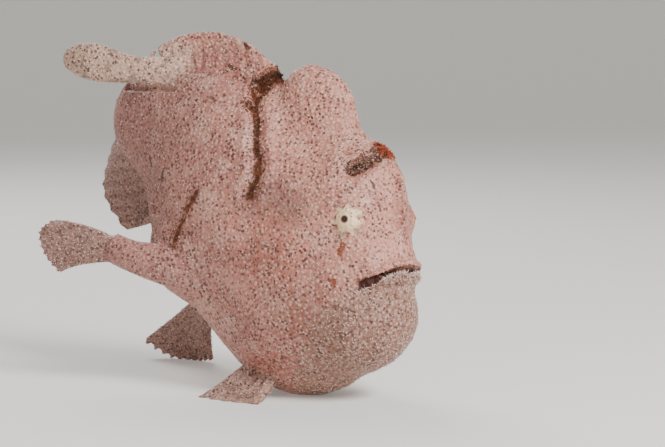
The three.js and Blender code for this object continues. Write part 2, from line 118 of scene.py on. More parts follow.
# Skin relief: height and size of the lumps, and the seed of their noise
SWELLINGS = [(0.00030, 0.011, 1), (0.00014, 0.0042, 2)]
RIPPLES = (0.00007, 0.0019, 3)
CREASE_DEPTH = 0.0010
CREASE_BANK = 0.0004
DIP_DEPTH = 0.0016
LIP_DEPTH = 0.0010
FOLD_DEPTH = 0.0012
PORE_RIM = 0.0003
PORE_DEPTH = 0.0004

# Mouth opening, from its corner: behind it, below it, above it, and the distance given to all other places
MOUTH_BACK = 0.0008
MOUTH_BELOW = 0.003
MOUTH_ABOVE = 0.012
FAR_FROM_MOUTH = 1.0

# Eyes
SIDES = ("right", "left")
GAZE_TURN = Vector((0.22, 0, 0.06))
EYE_FRONT = 0.0032
PUPIL_DENT = 0.00012
CORNEA_BULGE = 0.02
LID_INNER = 0.0029
LID_PULL = 0.0007
LID_LIFT = 0.00012
LID_HOLD = 0.7
STAR_REACH = 0.0037
STAR_EDGE = 0.0006
STAR_RAYS = [(0.0005, 7, 0), (0.0003, 11, 1)]

# Marks on the near flank, as pixels of the photograph
MOUTH_CORNER = (360, 282)
CREASE_TOP = [(284, 74), (272, 78), (262, 86), (257, 96)]
CREASE = [
    (257, 96), (254, 108), (257, 122), (256, 134), (255, 148), (258, 160), (257, 174), (252, 186),
    (249, 195),
]
CREASE_BLOBS = [
    ((250, 105), 1.0), ((256, 133), 0.8), ((258, 158), 0.8), ((255, 182), 0.7), ((249, 193), 0.7),
]
# Edge low on the flank where the rusty colour is both algae and painted shadow
ALGAE_AND_SHADOW_EDGE = [(196, 193), (188, 207), (182, 222), (174, 244)]
DIP = [(353, 169), (360, 166), (368, 160), (376, 156)]
SPINE_TUFT = [(383, 150), (393, 153)]
PIT = [(114, 92), (118, 99)]
FIN_FOLD = [(126, 87), (150, 88), (172, 89)]
PALE_LOBE = [(68, 60), (95, 62), (132, 68), (165, 62)]
PALE_STREAK = [(341, 226), (341, 240)]
DARK_DIP = [(262, 200), (276, 196), (290, 206)]
ORANGE_SPOTS = [((342, 245), (340, 253), 1.0), ((334, 281), (333, 287), 0.8)]
BROWN_SPOTS = [
    ((325, 331), (325, 333), 0.5), ((150, 157), (151, 165), 0.8), ((163, 172), (161, 179), 0.7),
    ((210, 96), (216, 102), 0.5), ((230, 66), (234, 69), 0.8), ((245, 44), (248, 48), 0.7),
    ((286, 119), (286, 121), 0.4), ((371, 321), (373, 323), 0.4), ((371, 181), (374, 187), 0.5),
]
# Painted reddish shade low on the flank, round the pectoral arm
RUDDY_SHADE_PATH = [(262, 262), (276, 290), (296, 318)]
PALE_PORES = [((330, 112), 0.9), ((328, 159), 0.8), ((289, 161), 0.7), ((247, 330), 0.8)]
RED_STREAKS = [
    ((300, 250), (238, 218)), ((296, 262), (240, 246)), ((290, 276), (244, 268)), ((292, 240), (262, 205)),
]

# Patches of each mark: path, how far full strength and the last trace reach from it, and the strength
SPOT_CORE = 0.0006
SPOT_RIM = 0.0012
ORANGE_SPREAD = 1.6
BLOB_CORE = 0.0006
BLOB_RIM = 0.0024
PATCHES = {
    "algae_and_shadow": [
        (CREASE_TOP, 0.0008, 0.0030, 1.0),
        (CREASE, 0.0001, 0.0021, 0.9),
        # Along this edge the rusty colour is also painted shadow
        (ALGAE_AND_SHADOW_EDGE, 0.0001, 0.0015, 0.85),
        (SPINE_TUFT, 0.0008, 0.0028, 1.0),
        (PIT, 0.0004, 0.0026, 1.0),
        (DIP, 0.0001, 0.0023, 0.6),
    ],
    "olive": [(DIP, 0.0012, 0.0034, 0.7), (PIT, 0.001, 0.004, 1.0)],
    "ember": [(SPINE_TUFT, 0.0012, 0.0030, 1.0)],
    "shade": [(DARK_DIP, 0.001, 0.008, 1.0), (DIP, 0.001, 0.005, 0.7)],
    "pale": [(PALE_LOBE, 0.004, 0.010, 1.0), (PALE_STREAK, 0.0002, 0.0014, 0.8)],
    # The ruddy patch is painted reddish shade on the flank
    "ruddy_shade": [(RUDDY_SHADE_PATH, 0.001, 0.011, 1.0)],
    "streaks": [([start, end], 0.0004, 0.0035, 1.0) for start, end in RED_STREAKS],
    "spots": [
        ([start, end], size * SPOT_CORE, size * SPOT_RIM, 1.0)
        for start, end, size in ORANGE_SPOTS + BROWN_SPOTS
    ],
    "orange": [
        ([start, end], size * SPOT_CORE, size * SPOT_RIM * ORANGE_SPREAD, 1.0)
        for start, end, size in ORANGE_SPOTS
    ],
}
PATCHES["algae_and_shadow"] += [
    ([pixel, pixel], BLOB_CORE * size, BLOB_RIM * size, 1.0) for pixel, size in CREASE_BLOBS
]

# Marks that are broken up by noise: their usual strength, then strength, lump size and seed of each noise
RAGGED = {
    "algae_and_shadow": (0.85, [(0.75, 0.0022, 4), (0.35, 0.0009, 9)]),
    "spots": (0.9, [(0.3, 0.0007, 12)]),
    "ruddy_shade": (0.75, [(0.5, 0.004, 8)]),
    "streaks": (0.8, [(0.4, 0.003, 6)]),
}

# The tail end is darker, a painted shade where the light falls off: from the rearmost point, where full
# strength ends and where the last of it does
REAR_FULL = 0.03
REAR_END = 0.075

# Skin pattern: sizes of its lumps and of the dots
GRANULE = 0.00115
DOT = 0.0010
BROAD_MOTTLE = 0.018
MIDDLE_MOTTLE = 0.006
FINE_MOTTLE = 0.0006
FIN_MOTTLE = 0.0036
PATTERN_STRENGTH_LUMPS = 0.007
DOT_CLUSTERS = 0.0016
ALGAE_GRAIN = 0.0009
GRANULE_RELIEF = 0.0003
FINE_RELIEF = 0.00012

# Colours
ROSE = colour(204, 138, 120)
MAUVE = colour(176, 112, 98)
BLUSH = colour(218, 168, 150)
# Reddish brown of the painted shade on the flank
RUDDY_SHADE = colour(136, 82, 64)
CHIN_BROWN = colour(146, 106, 88)
FIN_GREY = colour(160, 128, 112)
LOBE_CREAM = colour(198, 172, 150)
STREAK_RED = colour(196, 108, 88)
# Painted shade for the tail end
GRANULE_PINK = colour(232, 194, 178)
REAR_SHADE_MAUVE = colour(142, 100, 94)
DOT_PURPLE = colour(78, 38, 34)
FIN_MOTTLE_BROWN = colour(104, 80, 68)
SHADE_BROWN = colour(100, 64, 54)
RUST_DARK = colour(48, 22, 9)
RUST_LIGHT = colour(122, 60, 20)
OLIVE_DARK = colour(50, 32, 18)
OLIVE_LIGHT = colour(112, 82, 54)
EMBER_DARK = colour(110, 34, 8)
EMBER_LIGHT = colour(190, 74, 20)
SPOT_BROWN = colour(78, 38, 20)
SPOT_ORANGE = colour(124, 54, 20)
STAR_CREAM = colour(255, 222, 180)
STAR_FRECKLE = colour(118, 62, 38)
MOUTH_SHADE_BROWN = colour(78, 36, 22)
# Painted shade inside the open mouth
IRIS_CREAM = colour(250, 206, 150)
IRIS_FRECKLE = colour(120, 72, 50)
IRIS_RING = colour(140, 66, 34)
PUPIL_BLACK = colour(30, 10, 8)
FLOOR_WHITE = colour(226, 224, 220)
WORLD_WHITE = colour(226, 228, 230)

# Tints that turn the flesh at a mark: the mark, the share of the tint, and the tint
FLESH_TINTS = [
    # The ruddy tint is painted reddish shade on the flank
    ("ruddy_shade", 0.7, RUDDY_SHADE), ("jaw", 0.9, CHIN_BROWN), ("fins", 0.8, FIN_GREY), ("pale", 0.7, LOBE_CREAM),
]

# Materials of the growths: dark and light colour
GROWTH_COLOURS = {
    "rusty_algae": (colour(52, 24, 10), colour(134, 68, 24)),
    "olive_algae": (colour(44, 28, 16), colour(112, 84, 54)),
    "ember_algae": (colour(120, 36, 8), colour(206, 84, 26)),
    "pale_fuzz": (colour(188, 172, 158), colour(228, 218, 206)),
    "pale_warts": (colour(204, 178, 166), colour(234, 216, 204)),
}

# Growths: how many fingers, their length, width, lean and sides, and the seed of their chance
FINGER_JOINTS = 2
GROWTHS = {
    "algae_turf": dict(count=2400, length=0.0006, width=0.00011, lean=0.9, sides=3, seed=3),
    "olive_turf": dict(count=520, length=0.0006, width=0.00009, lean=1.1, sides=3, seed=8),
    "pale_fuzz": dict(count=90, length=0.0007, width=0.00005, lean=1.2, sides=3, seed=4),
    "spine_tuft": dict(count=420, length=0.0008, width=0.00009, lean=0.9, sides=3, seed=5),
    "skin_warts": dict(count=6500, length=0.00036, width=0.00015, lean=0.5, sides=4, seed=6),
    "lip_fringe": dict(count=340, length=0.0009, width=0.00016, lean=0.5, sides=4, seed=7),
}

# Flat map of the body for the growths: its margin, and the size of a finger's patch on it
MAP_MARGIN = 0.02
MAP_SPAN = 0.96
FINGER_PATCH = 0.003


# Camera


def camera_axes():
    azimuth = math.radians(CAMERA_AZIMUTH)
    elevation = math.radians(CAMERA_ELEVATION)
    back = Vector((
        math.sin(azimuth) * math.cos(elevation),
        -math.cos(azimuth) * math.cos(elevation),
        math.sin(elevation),
    ))
    right = Vector((math.cos(azimuth), math.sin(azimuth), 0))
    return right, back.cross(right), back


def eye_centre(side):
    low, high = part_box(f"eye_{side}")
    return (Vector(low) + Vector(high)) / 2


def eye_radius(side):
    low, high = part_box(f"eye_{side}")
    return (high[0] - low[0]) / 2


def eye_axis(side):
    """Centre of an eye and the direction it looks in."""
    centre = eye_centre(side)
    other = eye_centre("left" if side == "right" else "right")
    outward = (centre - other).normalized()
    return centre, (outward + GAZE_TURN).normalized()


def camera_place():
    right, up, back = camera_axes()
    centre, outward = eye_axis("right")
    eye_front = centre + outward * EYE_FRONT
    offset_right = (EYE_PIXEL[0] - PHOTO_WIDTH / 2) * CAMERA_DISTANCE / FOCAL_PIXELS
    offset_up = (PHOTO_HEIGHT / 2 - EYE_PIXEL[1]) * CAMERA_DISTANCE / FOCAL_PIXELS
    return eye_front + back * CAMERA_DISTANCE - right * offset_right - up * offset_up


def add_camera():
    right, up, back = camera_axes()
    data = bpy.data.cameras.new("camera")
    data.sensor_width = SENSOR_WIDTH_MM
    data.lens = SENSOR_WIDTH_MM * FOCAL_PIXELS / PHOTO_WIDTH
    camera = bpy.data.objects.new("camera", data)
    turn = Matrix((right, up, back)).transposed().to_4x4()
    camera.matrix_world = Matrix.Translation(camera_place()) @ turn
    bpy.context.scene.collection.objects.link(camera)
    bpy.context.scene.camera = camera


def sight(pixel):
    """Start and direction of the line of sight through a pixel of the photograph."""
    right, up, back = camera_axes()
    across = (pixel[0] - PHOTO_WIDTH / 2) / FOCAL_PIXELS
    down = (pixel[1] - PHOTO_HEIGHT / 2) / FOCAL_PIXELS
    return camera_place(), (right * across - up * down - back).normalized()


# Meshes


def add_object(name, mesh):
    piece = bpy.data.objects.new(name, mesh)
    bpy.context.scene.collection.objects.link(piece)
    return piece


def apply_modifiers(piece):
    graph = bpy.context.evaluated_depsgraph_get()
    mesh = bpy.data.meshes.new_from_object(piece.evaluated_get(graph))
    piece.modifiers.clear()
    piece.data = mesh


def swollen_copy(node):
    """A closed copy of a solid, swollen a little so that it meets its neighbours."""
    shape = bmesh.new()
    shape.from_mesh(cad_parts[node].data)
    bmesh.ops.remove_doubles(shape, verts=shape.verts, dist=1e-7)
    shape.normal_update()
    moves = [(vertex, vertex.normal * SEAM_FILL) for vertex in shape.verts]
    for vertex, move in moves:
        vertex.co += move
    return shape


def joined_solids(name, nodes):
    whole = bmesh.new()
    for node in nodes:
        shape = swollen_copy(node)
        part = bpy.data.meshes.new(node + "_copy")
        shape.to_mesh(part)
        shape.free()
        whole.from_mesh(part)
        bpy.data.meshes.remove(part)
    mesh = bpy.data.meshes.new(name)
    whole.to_mesh(mesh)
    whole.free()
    return add_object(name, mesh)


def points_of(mesh):
    points = np.empty(len(mesh.vertices) * 3)
    mesh.vertices.foreach_get("co", points)
    return points.reshape(-1, 3)


def normals_of(mesh):
    normals = np.empty(len(mesh.vertices) * 3)
    mesh.vertex_normals.foreach_get("vector", normals)
    return normals.reshape(-1, 3)


def set_points(mesh, points):
    mesh.vertices.foreach_set("co", points.ravel())
    mesh.update()


def edges_of(mesh):
    edges = np.empty(len(mesh.edges) * 2, dtype=np.int64)
    mesh.edges.foreach_get("vertices", edges)
    return edges.reshape(-1, 2)


def neighbour_mean(values, edges):
    """For each vertex, the mean of its neighbours' values."""
    count = len(values)
    first, second = edges[:, 0], edges[:, 1]
    degree = np.bincount(first, minlength=count) + np.bincount(second, minlength=count)
    total = np.zeros_like(values)
    for axis in range(values.shape[1]):
        column = values[:, axis]
        total[:, axis] = np.bincount(first, column[second], count)
        total[:, axis] += np.bincount(second, column[first], count)
    return total / np.maximum(degree, 1)[:, None]


def neighbour_rounds(values, edges, rounds):
    """Values spread out over the surface, one number a vertex."""
    values = values[:, None]
    for _ in range(rounds):
        values = 0.5 * values + 0.5 * neighbour_mean(values, edges)
    return values[:, 0]


def relax(points, edges, weight, rounds):
    """Evens out a surface without shrinking it: each round pulls in, then pushes back out."""
    for _ in range(rounds):
        points = points + PULL_IN * weight * (neighbour_mean(points, edges) - points)
        points = points - PUSH_OUT * weight * (neighbour_mean(points, edges) - points)
    return points


def fall_off(distance, inner, outer):
    """1 inside the inner distance, 0 beyond the outer one, and smooth between."""
    t = np.clip((outer - distance) / (outer - inner), 0, 1)
    return t * t * (3 - 2 * t)


def noise_at(points, size, seed):
    """Smooth noise between -1 and 1, with lumps of the given size."""
    shift = Vector((seed * 7.3, seed * 3.1, seed * 5.7))
    return np.array([noise.noise(Vector(p) / size + shift) for p in points])


def distance_to_path(points, path):
    best = np.full(len(points), np.inf)
    for start, end in zip(path[:-1], path[1:]):
        start, end = np.array(start), np.array(end)
        along = end - start
        t = np.clip((points - start) @ along / max(along @ along, 1e-12), 0, 1)
        best = np.minimum(best, np.linalg.norm(points - (start + t[:, None] * along), axis=1))
    return best


# Places on the skin


def corners_and_faces(node):
    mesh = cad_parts[node].data
    return [vertex.co.copy() for vertex in mesh.vertices], [list(face.vertices) for face in mesh.polygons]


def solid_tree(node):
    return BVHTree.FromPolygons(*corners_and_faces(node))


def nearest_part(points):
    """For each point, the name of the solid it lies on."""
    vertices, faces, owners = [], [], []
    for node in FLESH + FINS:
        corners, node_faces = corners_and_faces(node)
        base = len(vertices)
        vertices.extend(corners)
        faces.extend([base + i for i in face] for face in node_faces)
        owners.extend([node] * len(node_faces))
    tree = BVHTree.FromPolygons(vertices, faces)
    return np.array([owners[tree.find_nearest(Vector(p))[2]] for p in points])


def surface_tree(piece):
    return BVHTree.FromObject(piece, bpy.context.evaluated_depsgraph_get())


def on_surface(tree, pixel):
    """Where a pixel of the photograph falls on a surface, or below the floor where it misses."""
    start, direction = sight(pixel)
    hit = tree.ray_cast(start, direction)[0]
    return hit if hit is not None else Vector((0, 0, -1))


def path_on_surface(tree, pixels, steps=5):
    path = []
    for start, end in zip(pixels[:-1], pixels[1:]):
        for i in range(steps):
            t = i / steps
            pixel = (start[0] + (end[0] - start[0]) * t, start[1] + (end[1] - start[1]) * t)
            path.append(on_surface(tree, pixel))
    path.append(on_surface(tree, pixels[-1]))
    return [p for p in path if p.z >= 0]


def near_path(points, tree, pixels, inner, outer):
    """1 close to a path of pixels laid on the skin, 0 away from it."""
    return fall_off(distance_to_path(points, path_on_surface(tree, pixels)), inner, outer)


def mouth_distance(points):
    """How far points are from the open mouth, between the head and the lower jaw."""
    jaw = solid_tree("lower_jaw")
    head = solid_tree("head")
    corner = on_surface(head, MOUTH_CORNER)
    right_eye, left_eye = eye_centre("right"), eye_centre("left")
    forward = (right_eye - left_eye).normalized().cross(Vector((0, 0, -1)))
    distances = np.full(len(points), FAR_FROM_MOUTH)
    ahead = (points - np.array(corner)) @ np.array(forward) > -MOUTH_BACK
    near = ahead & (points[:, 2] > corner.z - MOUTH_BELOW) & (points[:, 2] < corner.z + MOUTH_ABOVE)
    for i in np.flatnonzero(near):
        point = Vector(points[i])
        distances[i] = max(jaw.find_nearest(point)[3], head.find_nearest(point)[3])
    return distances


def clear_of_eyes(points, inner, outer):
    """0 at the eyes and 1 away from them."""
    clear = np.ones(len(points))
    for side in SIDES:
        away = np.linalg.norm(points - np.array(eye_centre(side)), axis=1)
        clear *= 1 - fall_off(away, inner, outer)
    return clear


def eye_offsets(points, side):
    """How far points lie along an eye's axis, their way out from it, and their distance to it."""
    centre, outward = eye_axis(side)
    outward = np.array(outward)
    offset = points - np.array(centre)
    along = offset @ outward
    flat = offset - along[:, None] * outward
    return along, flat, np.linalg.norm(flat, axis=1)


# Skin


def make_skin():
    """One skin over all the solids of flesh and fin, with its seams smoothed away."""
    skin = joined_solids("skin", FLESH + FINS)
    remesh = skin.modifiers.new("even", "REMESH")
    remesh.mode = "VOXEL"
    remesh.voxel_size = SKIN_VOXEL
    apply_modifiers(skin)
    mesh = skin.data
    points = points_of(mesh) - normals_of(mesh) * SEAM_FILL
    edges = edges_of(mesh)
    parts = nearest_part(points)
    soft = 1 - neighbour_rounds(np.isin(parts, FINS).astype(float), edges, 8)
    soft *= clear_of_eyes(points, 0.005, 0.009)
    soft *= 1 - fall_off(mouth_distance(points), 0.0022, 0.0045)
    share = 1
    points = relax(points, edges, soft[:, None], int(BODY_SMOOTHING * share))
    points = relax(points, edges, np.ones((len(points), 1)), FEATURE_SMOOTHING)
    back_fin = neighbour_rounds((parts == "dorsal_fin").astype(float), edges, 12)
    for _ in range(int(BACK_FIN_SMOOTHING * share)):
        points = points + PULL_IN * back_fin[:, None] * (neighbour_mean(points, edges) - points)
    points[:, 2] = np.maximum(points[:, 2], 0)
    set_points(mesh, points)
    return skin


def thin_out(piece, triangles):
    count = sum(len(p.vertices) - 2 for p in piece.data.polygons)
    if count <= triangles:
        return
    decimate = piece.modifiers.new("thin", "DECIMATE")
    decimate.ratio = triangles / count
    apply_modifiers(piece)


def shape_skin(skin):
    """Soft swellings all over, the rusty crease behind the shoulder and the fold under the back fin."""
    mesh = skin.data
    points = points_of(mesh)
    normals = normals_of(mesh)
    tree = surface_tree(skin)
    parts = nearest_part(points)
    soft = neighbour_rounds(1 - np.isin(parts, FINS).astype(float), edges_of(mesh), 6)
    height = np.zeros(len(points))
    for rise, size, seed in SWELLINGS:
        height += rise * noise_at(points, size, seed) * soft
    rise, size, seed = RIPPLES
    height += rise * noise_at(points, size, seed)
    crease = distance_to_path(points, path_on_surface(tree, CREASE_TOP + CREASE))
    height -= CREASE_DEPTH * fall_off(crease, 0.0002, 0.0028)
    height += CREASE_BANK * fall_off(np.abs(crease - 0.0034), 0.0002, 0.0016)
    height -= DIP_DEPTH * near_path(points, tree, DIP, 0.0006, 0.0034)
    height -= LIP_DEPTH * fall_off(mouth_distance(points), 0.0009, 0.0018)
    height -= FOLD_DEPTH * near_path(points, tree, FIN_FOLD, 0.0001, 0.0016)
    for pixel, size in PALE_PORES:
        away = np.linalg.norm(points - np.array(on_surface(tree, pixel)), axis=1)
        height += PORE_RIM * fall_off(away, 0.0004 * size, 0.0014 * size)
        height -= PORE_DEPTH * fall_off(away, 0.0001 * size, 0.0006 * size)
    height *= clear_of_eyes(points, 0.0045, 0.006)
    height *= 1 - fall_off(points[:, 2], 0.0002, 0.0015)
    points = points + normals * height[:, None]
    for side in SIDES:
        points = close_lid(points, side)
    points[:, 2] = np.maximum(points[:, 2], 0)
    set_points(mesh, points)


def close_lid(points, side):
    """Draws the rim of skin round an eye inwards, so that it lies on the eyeball like a lid."""
    centre, outward = eye_axis(side)
    along, flat, away = eye_offsets(points, side)
    near = fall_off(np.abs(away - LID_INNER), 0.0008, 0.0022) * (along > 0.0004)
    narrowed = away - LID_PULL * near
    limit = np.sqrt(np.maximum((eye_radius(side) + LID_LIFT) ** 2 - narrowed ** 2, 0))
    settled = along + near * LID_HOLD * (limit - along)
    moved = np.array(centre) + settled[:, None] * np.array(outward)
    moved = moved + flat * (narrowed / np.maximum(away, 1e-6))[:, None]
    return np.where((near > 0)[:, None], moved, points)


def raggedness(points, mark):
    """How strong a mark is from place to place, where noise breaks it up."""
    share, lumps = RAGGED.get(mark, (1, []))
    for strength, size, seed in lumps:
        share = share + strength * noise_at(points, size, seed)
    return share


def eye_star(points):
    """The cream star of skin round each eye."""
    star = np.zeros(len(points))
    for side in SIDES:
        _, outward = eye_axis(side)
        along, flat, away = eye_offsets(points, side)
        upward = Vector((0, 0, 1)).cross(outward).normalized()
        turn = np.arctan2(flat @ np.array(upward), flat @ np.array(outward.cross(upward)))
        reach = STAR_REACH
        for length, rays, shift in STAR_RAYS:
            reach = reach + length * np.cos(rays * turn + shift)
        star = np.maximum(star, np.clip((reach - away) / STAR_EDGE, 0, 1) * (along > 0))
    return star


def paint_skin(skin):
    """Where each marking lies, kept as one number a vertex for the skin's material."""
    mesh = skin.data
    points = points_of(mesh)
    edges = edges_of(mesh)
    tree = surface_tree(skin)
    parts = nearest_part(points)
    marks = {}
    for name, patches in PATCHES.items():
        layers = [
            strength * near_path(points, tree, path, inner, outer)
            for path, inner, outer, strength in patches
        ]
        marks[name] = np.maximum.reduce(layers) * raggedness(points, name)
    # Painted shade that darkens the tail end, kept off the back fin
    rear_end = cad_box[0][0]
    rear_shade = fall_off(points[:, 0], rear_end + REAR_FULL, rear_end + REAR_END) * (1 - (parts == "dorsal_fin"))
    marks["rear_shade"] = neighbour_rounds(rear_shade, edges, 30)
    marks["fins"] = neighbour_rounds(np.isin(parts, FINS).astype(float), edges, 30)
    marks["jaw"] = neighbour_rounds((parts == "lower_jaw").astype(float), edges, 20)
    marks["cream"] = eye_star(points)
    # Painted shade in the mouth opening, kept off the cream star
    marks["mouth"] = fall_off(mouth_distance(points), 0.0012, 0.0019) * (1 - marks["cream"])
    for name, values in marks.items():
        layer = mesh.attributes.new(name, "FLOAT", "POINT")
        layer.data.foreach_set("value", np.clip(values, 0, 1).astype(np.float32))


# Materials


class Recipe:
    """A material's nodes, added one at a time and joined by name."""

    def __init__(self, name):
        self.material = bpy.data.materials.new(name)
        self.material.use_nodes = True
        self.nodes = self.material.node_tree.nodes
        self.links = self.material.node_tree.links
        self.shader = self.nodes["Principled BSDF"]
        self.place = self.node("ShaderNodeTexCoord").outputs["Object"]

    def node(self, kind, **settings):
        made = self.nodes.new(kind)
        for name, value in settings.items():
            setattr(made, name, value)
        return made

    def join(self, value, socket):
        if isinstance(value, bpy.types.NodeSocket):
            self.links.new(value, socket)
        else:
            socket.default_value = value

    def finish(self, name, value):
        """Puts a colour, a number or a pattern on one of the shader's own sockets."""
        self.join(value, self.shader.inputs[name])

    def noise(self, size, detail=2, roughness=0.5):
        made = self.node("ShaderNodeTexNoise")
        made.inputs["Scale"].default_value = 1 / size
        made.inputs["Detail"].default_value = detail
        made.inputs["Roughness"].default_value = roughness
        self.join(self.place, made.inputs["Vector"])
        return made.outputs["Fac"]

    def cells(self, size, feature="F1", place=None):
        made = self.node("ShaderNodeTexVoronoi", feature=feature)
        made.inputs["Scale"].default_value = 1 / size
        self.join(place or self.place, made.inputs["Vector"])
        return made.outputs["Distance"]

    def range(self, value, low, high, start=0.0, end=1.0):
        made = self.node("ShaderNodeMapRange", interpolation_type="SMOOTHSTEP")
        self.join(value, made.inputs["Value"])
        for socket, number in zip(("From Min", "From Max", "To Min", "To Max"), (low, high, start, end)):
            made.inputs[socket].default_value = number
        return made.outputs["Result"]

    def maths(self, operation, first, second):
        made = self.node("ShaderNodeMath", operation=operation)
        self.join(first, made.inputs[0])
        self.join(second, made.inputs[1])
        return made.outputs["Value"]

    def times(self, first, second):
        return self.maths("MULTIPLY", first, second)

    def mix(self, share, first, second):
        made = self.node("ShaderNodeMix", data_type="RGBA")
        self.join(share, made.inputs["Factor"])
        self.join(first, made.inputs["A"])
        self.join(second, made.inputs["B"])
        return made.outputs["Result"]

    def mark(self, name):
        return self.node("ShaderNodeAttribute", attribute_name=name).outputs["Fac"]

    def tint(self, base, mark, share, tint):
        """The base colour, turned towards a tint where a mark lies on the skin."""
        return self.mix(self.times(self.mark(mark), share), base, tint)

    def warped(self, size, amount):
        """The place, pushed about by noise so that a pattern loses its regular look."""
        push = self.node("ShaderNodeTexNoise")
        push.inputs["Scale"].default_value = 1 / size
        self.join(self.place, push.inputs["Vector"])
        scale = self.node("ShaderNodeVectorMath", operation="SCALE")
        scale.inputs["Scale"].default_value = amount
        self.join(push.outputs["Color"], scale.inputs[0])
        add = self.node("ShaderNodeVectorMath", operation="ADD")
        self.join(self.place, add.inputs[0])
        self.join(scale.outputs["Vector"], add.inputs[1])
        return add.outputs["Vector"]

    def bump(self, height, depth, strength=1.0, below=None):
        made = self.node("ShaderNodeBump")
        made.inputs["Distance"].default_value = depth
        made.inputs["Strength"].default_value = strength
        self.join(height, made.inputs["Height"])
        if below is not None:
            self.join(below, made.inputs["Normal"])
        return made.outputs["Normal"]


def flesh_colours(recipe):
    """Rose and mauve flesh, with the painted reddish shade on the flank, and its chin, fins, pale lobe and
    red streaks.
    """
    broad = recipe.noise(BROAD_MOTTLE, 3)
    middle = recipe.noise(MIDDLE_MOTTLE, 3)
    flesh = recipe.mix(recipe.range(broad, 0.38, 0.62), ROSE, MAUVE)
    flesh = recipe.mix(recipe.range(middle, 0.5, 0.66, 0, 0.6), flesh, BLUSH)
    for mark, share, tint in FLESH_TINTS:
        flesh = recipe.tint(flesh, mark, share, tint)
    streak = recipe.times(recipe.mark("streaks"), recipe.range(middle, 0.35, 0.6, 0.2, 0.6))
    return recipe.mix(streak, flesh, STREAK_RED)


def granules_and_dots(recipe, flesh, place, granules, fine):
    """Pale centres of the granules, the dark net between them and dark dots with lighter middles."""
    flesh = recipe.mix(recipe.range(granules, 0.16, 0.62, 0.4, 0), flesh, GRANULE_PINK)
    # Painted shade towards the tail end
    flesh = recipe.tint(flesh, "rear_shade", 0.5, REAR_SHADE_MAUVE)
    edges = recipe.cells(GRANULE, "DISTANCE_TO_EDGE", place)
    net = recipe.times(recipe.range(edges, 0.0, 0.13, 0.6, 0), recipe.range(fine, 0.36, 0.58))
    speck = recipe.cells(DOT, "F1", recipe.warped(0.0013, 0.0006))
    middle = recipe.range(speck, 0.04, 0.16, 0.45, 1)
    ring = recipe.times(middle, recipe.range(speck, 0.3, 0.46, 1, 0))
    dots = recipe.times(ring, recipe.range(recipe.noise(DOT_CLUSTERS), 0.34, 0.52, 0.15, 1))
    pattern = recipe.maths("MAXIMUM", net, dots)
    strength = recipe.range(recipe.noise(PATTERN_STRENGTH_LUMPS), 0.3, 0.7, 0.72, 1.0)
    return recipe.mix(recipe.times(pattern, strength), flesh, DOT_PURPLE)


def fin_mottle(recipe, flesh):
    """Brown mottles on the fins and the pale lobe, and the dark dip behind the shoulder."""
    mottle = recipe.range(recipe.noise(FIN_MOTTLE, 3, 0.6), 0.54, 0.64)
    whitish = recipe.maths("MAXIMUM", recipe.mark("fins"), recipe.mark("pale"))
    flesh = recipe.mix(recipe.times(recipe.times(mottle, whitish), 0.5), flesh, FIN_MOTTLE_BROWN)
    return recipe.tint(flesh, "shade", 0.55, SHADE_BROWN)


def algae_and_spots(recipe, flesh):
    """Rusty, olive and ember algae under the turf, with the rusty colour also painted as shadow along the
    edge low on the flank, then the brown and orange spots.
    """
    grain = recipe.noise(ALGAE_GRAIN, 4, 0.7)
    algae_and_shadow = recipe.mix(recipe.range(grain, 0.42, 0.6), RUST_DARK, RUST_LIGHT)
    algae_and_shadow = recipe.mix(recipe.mark("olive"), algae_and_shadow, recipe.mix(grain, OLIVE_DARK, OLIVE_LIGHT))
    algae_and_shadow = recipe.mix(recipe.mark("ember"), algae_and_shadow, recipe.mix(grain, EMBER_DARK, EMBER_LIGHT))
    grown = recipe.maths("ADD", recipe.mark("algae_and_shadow"), recipe.times(grain, 0.6))
    flesh = recipe.mix(recipe.range(grown, 0.62, 0.92), flesh, algae_and_shadow)
    spot = recipe.mix(recipe.mark("orange"), SPOT_BROWN, SPOT_ORANGE)
    return recipe.mix(recipe.range(recipe.mark("spots"), 0.3, 0.8, 0, 0.9), flesh, spot)


def star_and_mouth(recipe, flesh):
    """The freckled cream star round the eyes, and painted shade in the open mouth."""
    freckle = recipe.range(recipe.cells(0.0011), 0.14, 0.22, 1, 0)
    star = recipe.mix(freckle, STAR_CREAM, STAR_FRECKLE)
    flesh = recipe.mix(recipe.mark("cream"), flesh, star)
    return recipe.mix(recipe.mark("mouth"), flesh, MOUTH_SHADE_BROWN)


def skin_material():
    recipe = Recipe("mottled_skin")
    place = recipe.warped(0.0016, 0.0005)
    granules = recipe.cells(GRANULE, "F1", place)
    fine = recipe.noise(FINE_MOTTLE)
    flesh = flesh_colours(recipe)
    flesh = granules_and_dots(recipe, flesh, place, granules, fine)
    flesh = fin_mottle(recipe, flesh)
    flesh = algae_and_spots(recipe, flesh)
    flesh = star_and_mouth(recipe, flesh)
    recipe.finish("Base Color", flesh)
    recipe.finish("Roughness", recipe.range(fine, 0.3, 0.7, 0.44, 0.66))
    recipe.finish("Subsurface Weight", 0.1)
    recipe.finish("Subsurface Radius", (0.0012, 0.0005, 0.0004))
    recipe.finish("Subsurface Scale", 1.0)
    relief = recipe.bump(recipe.range(granules, 0.0, 0.6, 1, 0), GRANULE_RELIEF)
    relief = recipe.bump(recipe.noise(0.0004, 3), FINE_RELIEF, 0.7, relief)
    recipe.finish("Normal", relief)
    return recipe.material


